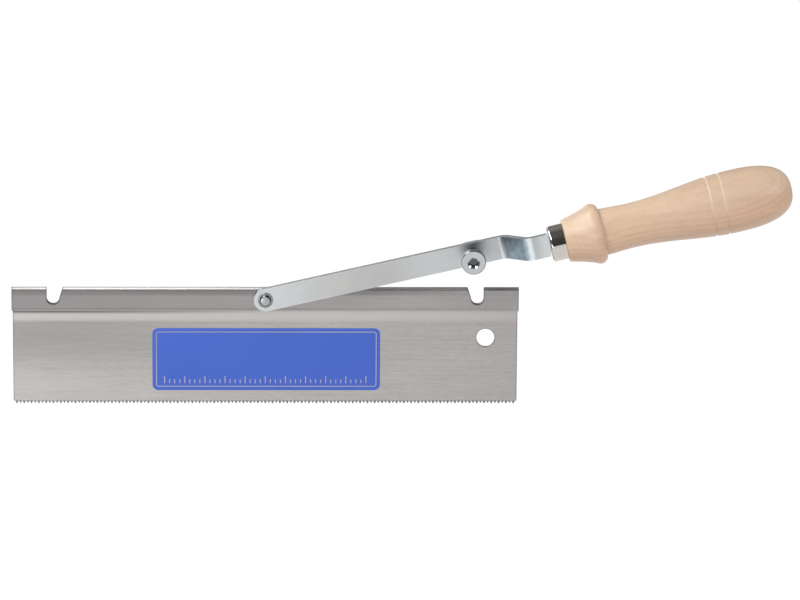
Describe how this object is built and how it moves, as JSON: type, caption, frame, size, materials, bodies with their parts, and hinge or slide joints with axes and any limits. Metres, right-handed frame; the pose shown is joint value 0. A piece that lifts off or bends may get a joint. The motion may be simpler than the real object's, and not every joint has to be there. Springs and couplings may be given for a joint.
{
  "type": "reversible offset back saw",
  "caption": "Fine-tooth back saw whose cranked handle arm swivels on the steel back and locks in a notch at either end with a clamp screw.",
  "frame": {"origin": "middle of the tooth line, at the tooth tips and in the blade's mid-plane", "axes": "+X along the tooth line towards the end that the handle points to, +Y out of the blade's rear face, +Z from the teeth to the back"},
  "size_m": [0.3845, 0.0394, 0.1251],
  "materials": {
    "blade_steel": "ground along its length, with a smoother band under the back",
    "back_steel": "rolled, satin",
    "rivet_steel": "bright, pressed",
    "zinc_plate": "bright zinc plated, faintly blue",
    "bright_plate": "bright plated screw, cool white",
    "nickel_plate": "polished nickel",
    "beech": "turned beech, thin satin lacquer"
  },
  "bodies": {
    "blade_unit": {"blade": "blade_steel", "back": "back_steel", "pivot_rivet": "rivet_steel", "pivot_washer": "rivet_steel", "rivet_washer": "rivet_steel"},
    "handle_unit": {"arm": "zinc_plate", "ferrule": "nickel_plate", "handle": "beech"},
    "head_washer": {"head_washer": "bright_plate"},
    "clamp_screw": {"clamp_screw": "bright_plate"},
    "clamp_plate": {"clamp_plate": "zinc_plate"}
  },
  "joints": [
    {"name": "handle_swivel", "type": "hinge", "parent": "blade_unit", "child": "handle_unit", "pos_m": [0, 0, 0.0546], "axis": [0, -1, 0], "range_deg": [-13, 167]},
    {"name": "screw_advance", "type": "slide", "parent": "handle_unit", "child": "head_washer", "axis": [0, 1, 0], "range_m": [0, 0.0117]},
    {"name": "screw_turn", "type": "hinge", "parent": "head_washer", "child": "clamp_screw", "pos_m": [0.10231, 0, 0.07822], "axis": [0, 1, 0], "range_deg": [0, 4320]},
    {"name": "plate_draw", "type": "slide", "parent": "handle_unit", "child": "clamp_plate", "axis": [0, -1, 0], "range_m": [0, 0.0003]}
  ],
  "couplings": [
    {"joint": "screw_turn", "follows": "screw_advance", "rad_per_m": 6444.3},
    {"joint": "plate_draw", "follows": "screw_advance", "ratio": 0.02564}
  ]
}
